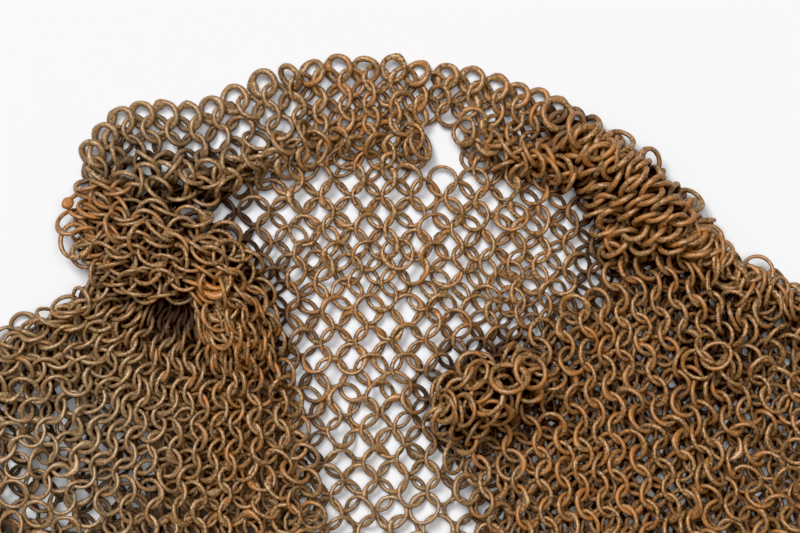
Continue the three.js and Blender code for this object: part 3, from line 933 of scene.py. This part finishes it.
def ironMaterial():
    material = bpy.data.materials.new("brownedIron")
    material.use_nodes = True
    tree = material.node_tree
    add, link = tree.nodes.new, tree.links.new
    shader = tree.nodes["Principled BSDF"]
    shader.inputs["Metallic"].default_value = ironFinish["metallic"]

    def mark(name):
        node = add("ShaderNodeAttribute")
        node.attribute_name = name
        return node.outputs["Fac"]

    def noise(scale, detail):
        node = add("ShaderNodeTexNoise")
        node.inputs["Scale"].default_value = scale
        node.inputs["Detail"].default_value = detail
        link(place.outputs["Object"], node.inputs["Vector"])
        return node.outputs["Fac"]

    def combine(operation, first, second):
        node = add("ShaderNodeMath")
        node.operation = operation
        for socket, value in zip(node.inputs, (first, second)):
            if isinstance(value, float):
                socket.default_value = value
            else:
                link(value, socket)
        return node.outputs[0]

    def blend(share, first, second):
        node = add("ShaderNodeMix")
        node.data_type = "RGBA"
        link(share, node.inputs["Factor"])
        for socket, value in ((node.inputs["A"], first), (node.inputs["B"], second)):
            if isinstance(value, tuple):
                socket.default_value = value
            else:
                link(value, socket)
        return node.outputs["Result"]

    def spread(value, low, high, least=0.0, most=1.0):
        node = add("ShaderNodeMapRange")
        link(value, node.inputs["Value"])
        for key, amount in (("From Min", low), ("From Max", high), ("To Min", least), ("To Max", most)):
            node.inputs[key].default_value = amount
        return node.outputs["Result"]

    place = add("ShaderNodeTexCoord")
    grain = noise(ironFinish["grain"], 3)
    patches = noise(ironFinish["patches"], 3)
    base = blend(spread(grain, 0.36, 0.66), ironFinish["dark"], ironFinish["light"])
    base = blend(spread(mark("ringTone"), 0.0, 1.0, 0.0, 0.4), base, ironFinish["ring"])
    bare = mark("bare")
    base = blend(combine("MULTIPLY", bare, 0.5), base, ironFinish["bare"])
    rust = combine("ADD", combine("MULTIPLY", mark("ringTone"), 0.1), patches)
    rust = combine("SUBTRACT", rust, combine("MULTIPLY", bare, 0.14))
    rust = spread(combine("ADD", rust, combine("MULTIPLY", mark("rust"), 0.3)), 0.56, 0.8, 0.0, 0.85)
    base = blend(rust, base, ironFinish["rust"])
    # painted shade darkens the lower wires towards that colour
    shade = spread(mark("paintedShade"), 0.0, 1.0, 0.0, 0.9)
    base = blend(shade, base, ironFinish["paintedShade"])
    link(base, shader.inputs["Base Color"])
    dull = combine("ADD", spread(grain, 0.35, 0.7, 0.27, 0.48), combine("MULTIPLY", rust, 0.22))
    dull = combine("ADD", dull, combine("MULTIPLY", shade, 0.5))
    link(dull, shader.inputs["Roughness"])
    shader.inputs["Specular IOR Level"].default_value = ironFinish["specular"]
    bump = add("ShaderNodeBump")
    bump.inputs["Strength"].default_value = 0.4
    bump.inputs["Distance"].default_value = ironFinish["bump"]
    link(grain, bump.inputs["Height"])
    link(bump.outputs["Normal"], shader.inputs["Normal"])
    return material


iron = ironMaterial()
heights = heightMap(allRings)
replaced = {
    "back_neck": "back",
    "collar_middle": "collar_back",
    "front_left": "front",
    "front_right": "front",
    "collar_left_end": "collar_left",
    "collar_right_end": "collar_right",
}


def finishSheet(piece, node):
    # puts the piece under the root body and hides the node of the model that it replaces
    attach(piece, "root")
    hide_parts(node)


def finishPiece(piece, node):
    # gives the piece the iron finish, puts it under the root body and hides the node it replaces
    piece.data.materials.append(iron)
    finishSheet(piece, node)


start = 0
for name, group in groups.items():
    count = len(group["centre"])
    part = pickRings(allRings, slice(start, start + count))
    start += count
    piece = ringMesh(name, part, ring["segments"], ring["sides"], True, heights)
    finishPiece(piece, replaced[name])
print("neck pieces made")

# the rest of the garment, finished plainly
rest = {
    "pitch": 8.3,
    "row": 5.6,
    "radius": 4.6,
    "wire": 1.45,
    "drop": 2.6,  # from the top of the mail down to the middle of a ring
    "beside": 2.6,  # how far a ring stays from the edge
    "lean": 0.42,
    "leanSpread": 0.12,
    "turn": 0.07,
    "tilt": 0.08,
    "shift": 0.25,
    "radiusSpread": 0.02,
    "segments": 8,
    "sides": 3,
}


def latticeRings(node, pitch, row, keep):
    # flat lattice laid on the top of a node, where keep says so
    box = nodes[node].bound_box
    matrix = nodes[node].matrix_world
    corners = np.array([matrix @ Vector(corner) for corner in box]) * 1000
    low, high = corners.min(axis=0), corners.max(axis=0)
    joined = (node, "sleeve_left", "sleeve_right") if node in ("front", "back") else (node, "front")
    centre, odd = [], []
    for line in range(int((high[1] - low[1]) / row) + 1):
        y = high[1] - line * row - ring["radius"]
        for column in range(int((high[0] - low[0]) / pitch) + 2):
            x = low[0] + (column + 0.5 * (line % 2)) * pitch
            sway = 1.6 * math.sin(x / 37 + y / 61) + 1.1 * math.sin(x / 17 - y / 23)
            x, lifted = x + 0.8 * sway, y + sway
            if not keep(x, lifted):
                continue
            top = topAt(node, x, lifted)
            if top is None:
                continue
            spots = besideSpot(x, lifted, rest["beside"])
            if all(any(topAt(other, *spot) is not None for other in joined) for spot in spots):
                centre.append((x, lifted, top - rest["drop"]))
                odd.append(line % 2)
    centre = np.array(centre)
    count = len(centre)
    lean = rest["lean"] * np.where(np.array(odd) == 1, -1, 1)[:, None]
    lean = lean + random.normal(0, rest["leanSpread"], (count, 1))
    right = np.array([1.0, 0, 0]) + random.normal(0, rest["turn"], (count, 3)) * (1, 1, 0)
    right /= np.linalg.norm(right, axis=1)[:, None]
    face = np.array([0, 0, 1.0]) + random.normal(0, rest["tilt"], (count, 3)) * (1, 1, 0)
    face -= right * np.sum(face * right, axis=1)[:, None]
    face /= np.linalg.norm(face, axis=1)[:, None]
    return {
        "centre": centre + random.normal(0, rest["shift"], (count, 3)),
        "side": right * np.cos(lean) + face * np.sin(lean),
        "up": face * np.cos(lean) - right * np.sin(lean),
        "radius": np.full(count, rest["radius"]) * random.normal(1, rest["radiusSpread"], count),
        "wire": np.full(count, rest["wire"]),
        "home": centre,
        "hold": np.zeros(count),
    }


cellSize = 6
covered = set()
for name in ("front_left", "front_right"):
    for point in groups[name]["home"]:
        covered.add((int(point[0] // cellSize), int(point[1] // cellSize)))


def outsideNeck(x, y):
    # away from the rings already laid around the neck
    if inNeckArea(x, y):
        return False
    cell = (int(x // cellSize), int(y // cellSize))
    around = [(cell[0] + i, cell[1] + j) in covered for i in (-1, 0, 1) for j in (-1, 0, 1)]
    return sum(around) < 5


def everywhere(x, y):
    return True


def leftFront(x, y):
    return x < neck[0] and outsideNeck(x, y)


def rightFront(x, y):
    return x >= neck[0] and outsideNeck(x, y)


bodies = {
    "front_body_left": ("front", leftFront),
    "front_body_right": ("front", rightFront),
    "sleeve_left_top": ("sleeve_left", everywhere),
    "sleeve_right_top": ("sleeve_right", everywhere),
}

# where light comes through the back and the rings over it, round the neck
shownBack = [
    (-140, 60), (140, 60), (136, 6), (140, -30), (131, -56), (135, -78), (121, -90), (104, -86), (88, -94),
    (70, -89), (54, -96), (40, -90), (26, -104), (14, -120), (9, -142), (2, -164), (-2, -164),
    (-9, -142), (-14, -120), (-28, -106), (-34, -76), (-37, -56),
    (-42, -36), (-50, -22), (-64, -12), (-84, -6), (-98, -18), (-104, -36), (-92, -42), (-80, -52),
    (-77, -66), (-84, -78), (-100, -85), (-120, -84), (-134, -74), (-144, -60), (-144, -30),
]


slab = {"back": 2.2, "sleeve": 4.4, "inset": 0.4, "lift": 0.4}  # how thick each is, and its gaps


def hiddenLayer(name, node, thick, hole=None):
    # the layer below: a thin slab on the model's own outline, marked with the same weave; it stands for the
    # lower rings, coloured dark with painted shade
    mesh = nodes[node].data.copy()
    mesh.materials.clear()
    mesh.transform(nodes[node].matrix_world)
    points = np.array([vertex.co for vertex in mesh.vertices])
    low, high = points.min(axis=0), points.max(axis=0)
    middle = (low + high) / 2
    shrink = 1 - 2 * slab["inset"] * 0.001 / (high - low)[:2]
    points[:, :2] = middle[:2] + (points[:, :2] - middle[:2]) * shrink
    points[:, 2] = (slab["lift"] + (points[:, 2] - low[2]) * thick / (high[2] - low[2])) * 0.001
    mesh.vertices.foreach_set("co", points.astype(np.float32).ravel())
    mesh.update()
    piece = bpy.data.objects.new(name, mesh)
    bpy.context.scene.collection.objects.link(piece)
    if hole:
        cutOut(piece, hole)
    return piece


def cutOut(piece, outline):
    # takes a straight-sided hole out of a piece; the outline goes round clockwise
    corners = [((x + neck[0]) * 0.001, (y + neck[1]) * 0.001) for x, y in outline]
    count = len(corners)
    points = [(x, y, z) for z in (-0.1, 0.1) for x, y in corners]
    walls = [(k, k + count, (k + 1) % count + count, (k + 1) % count) for k in range(count)]
    mesh = bpy.data.meshes.new("opening")
    ends = [tuple(range(count)), tuple(range(2 * count))[:count - 1:-1]]
    mesh.from_pydata(points, [], ends + walls)
    box = bpy.data.objects.new("opening", mesh)
    bpy.context.scene.collection.objects.link(box)
    cut = piece.modifiers.new("opening", "BOOLEAN")
    cut.operation = "DIFFERENCE"
    cut.object = box
    bpy.context.view_layer.update()
    solid = piece.evaluated_get(bpy.context.evaluated_depsgraph_get())
    mesh = bpy.data.meshes.new_from_object(solid)
    piece.modifiers.clear()
    piece.data = mesh
    bpy.data.objects.remove(box)


def finishSlab(piece, node):
    mesh = piece.data
    mesh.materials.append(weave)
    mesh.polygons.foreach_set("material_index", np.zeros(len(mesh.polygons), int))
    finishSheet(piece, node)
    print(piece.name, "laid")


# painted shade: the hidden layer's wires are darker than the iron on top, and the hollows between its loops
# near black
shadedWeaveFinish = {
    "wire": (0.11, 0.055, 0.02, 1),
    "gap": (0.012, 0.005, 0.0015, 1),
    "loops": 190,  # to a metre
    "metallic": 0.3,
    "roughness": 0.6,
}


def weaveMaterial():
    material = bpy.data.materials.new("shadedHiddenWeave")
    material.use_nodes = True
    tree = material.node_tree
    add, link = tree.nodes.new, tree.links.new
    shader = tree.nodes["Principled BSDF"]
    shader.inputs["Metallic"].default_value = shadedWeaveFinish["metallic"]
    shader.inputs["Roughness"].default_value = shadedWeaveFinish["roughness"]
    place = add("ShaderNodeTexCoord")
    loops = add("ShaderNodeTexVoronoi")
    loops.feature = "DISTANCE_TO_EDGE"
    loops.inputs["Scale"].default_value = shadedWeaveFinish["loops"]
    loops.inputs["Randomness"].default_value = 0.35
    link(place.outputs["Object"], loops.inputs["Vector"])
    colour = add("ShaderNodeValToRGB")
    colour.color_ramp.elements[0].position = 0.06
    colour.color_ramp.elements[0].color = shadedWeaveFinish["wire"]
    colour.color_ramp.elements[1].position = 0.2
    colour.color_ramp.elements[1].color = shadedWeaveFinish["gap"]
    link(loops.outputs["Distance"], colour.inputs["Fac"])
    link(colour.outputs["Color"], shader.inputs["Base Color"])
    bump = add("ShaderNodeBump")
    bump.invert = True
    bump.inputs["Distance"].default_value = 0.002
    link(loops.outputs["Distance"], bump.inputs["Height"])
    link(bump.outputs["Normal"], shader.inputs["Normal"])
    return material


weave = weaveMaterial()
finishSlab(hiddenLayer("back_body", "back", slab["back"], shownBack), "back")
for side in ("sleeve_left", "sleeve_right"):
    finishSlab(hiddenLayer(side + "_under", side, slab["sleeve"]), side)


def nearEdge(node):
    # within a ring of a node's outline
    edge = 8
    steps = [math.pi * turn / 4 for turn in range(8)]

    def keep(x, y):
        return any(topAt(node, x + edge * math.cos(a), y + edge * math.sin(a)) is None for a in steps)

    return keep


def backEdge(x, y):
    return not inNeckArea(x, y) and nearEdge("back")(x, y)


# the back below the neck, where it has bunched up and only shows through the two fronts
bunched = {
    "crowding": 0.77,
    "height": 2.9,
    "heightSpread": 0.2,
    "segments": 12,
    "sides": 4,
    "halfWide": 140,
    "foot": -100,
    "beside": 6,
}
slitFoot = {"halfWide": 22, "low": -172, "high": -108}


def underFront(x, y):
    across, along = x - neck[0], y - neck[1]
    inSlit = abs(across) < slitFoot["halfWide"] and slitFoot["low"] < along < slitFoot["high"]
    if inSlit and topAt("front", x, y) is None:
        return True
    if abs(across) > bunched["halfWide"] or along < bunched["foot"] or inThinSpot(x, y):
        return False
    return all(topAt("front", *spot) is not None for spot in besideSpot(x, y, bunched["beside"]))


lowerEdges = {
    "back_under": ("back", underFront),
    "back_edge": ("back", backEdge),
    "sleeve_left_edge": ("sleeve_left", nearEdge("sleeve_left")),
    "sleeve_right_edge": ("sleeve_right", nearEdge("sleeve_right")),
}

for name, (node, keep) in lowerEdges.items():
    under = name == "back_under"
    crowding = bunched["crowding"] if under else 1.0
    part = latticeRings(node, rest["pitch"] * crowding, rest["row"] * crowding, keep)
    count = len(part["centre"])
    height = bunched["height"] if under else rest["drop"]
    part["centre"][:, 2] = height + random.normal(0, bunched["heightSpread"], count)
    liftRings(part)
    if under:
        piece = ringMesh(name, part, bunched["segments"], bunched["sides"], False, heights)
    else:
        piece = ringMesh(name, part, rest["segments"], rest["sides"], False, None)
    finishPiece(piece, node)
    print(name, count, "rings")
for name, (node, keep) in bodies.items():
    part = latticeRings(node, rest["pitch"], rest["row"], keep)
    piece = ringMesh(name, part, rest["segments"], rest["sides"], False, None)
    finishPiece(piece, node)
    print(name, len(part["centre"]), "rings")


studio = {
    "floor": (0.632, 0.642, 0.66, 1),
    "softbox": {"place": (-0.42, 0.6, 1.0), "spread": 24, "power": 3.0},
    "overhead": {"place": (0.1, 0.1, 1.0), "spread": 36, "power": 1.65},
    "world": (1, 0.82, 0.66, 1),
    "worldPower": 0.2,
    "blackLevel": 0.006,  # so that the deepest shadows close up
    "cameraHeight": 0.9,
    "viewWide": 0.256,
}


def makeFloor():
    bpy.ops.mesh.primitive_plane_add(size=8, location=(0, 0, 0))
    floor = bpy.context.object
    floor.name = "floor"
    material = bpy.data.materials.new("paleFloor")
    material.use_nodes = True
    shader = material.node_tree.nodes["Principled BSDF"]
    shader.inputs["Base Color"].default_value = studio["floor"]
    shader.inputs["Roughness"].default_value = 0.8
    floor.data.materials.append(material)


def softSun(name):
    # the light of a large softbox far away, from the place it would stand
    data = bpy.data.lights.new(name, "SUN")
    data.angle = math.radians(studio[name]["spread"])
    data.energy = studio[name]["power"]
    lamp = bpy.data.objects.new(name, data)
    lamp.rotation_euler = Vector(studio[name]["place"]).to_track_quat("Z", "Y").to_euler()
    bpy.context.scene.collection.objects.link(lamp)


def makeCamera():
    data = bpy.data.cameras.new("camera")
    camera = bpy.data.objects.new("camera", data)
    bpy.context.scene.collection.objects.link(camera)
    data.sensor_width = 36
    data.lens = data.sensor_width * studio["cameraHeight"] / studio["viewWide"]
    data.clip_start = 0.01
    camera.location = (neck[0] * 0.001, neck[1] * 0.001, studio["cameraHeight"])
    bpy.context.scene.camera = camera


def setWorld():
    world = bpy.data.worlds.new("studio")
    bpy.context.scene.world = world
    world.use_nodes = True
    background = world.node_tree.nodes["Background"]
    background.inputs["Color"].default_value = studio["world"]
    background.inputs["Strength"].default_value = studio["worldPower"]
    view = bpy.context.scene.view_settings
    view.view_transform = "Standard"
    view.use_curve_mapping = True
    view.curve_mapping.black_level = (studio["blackLevel"],) * 3
    view.curve_mapping.update()


makeFloor()
softSun("softbox")
softSun("overhead")
setWorld()
makeCamera()
print("floor, lights and camera set")
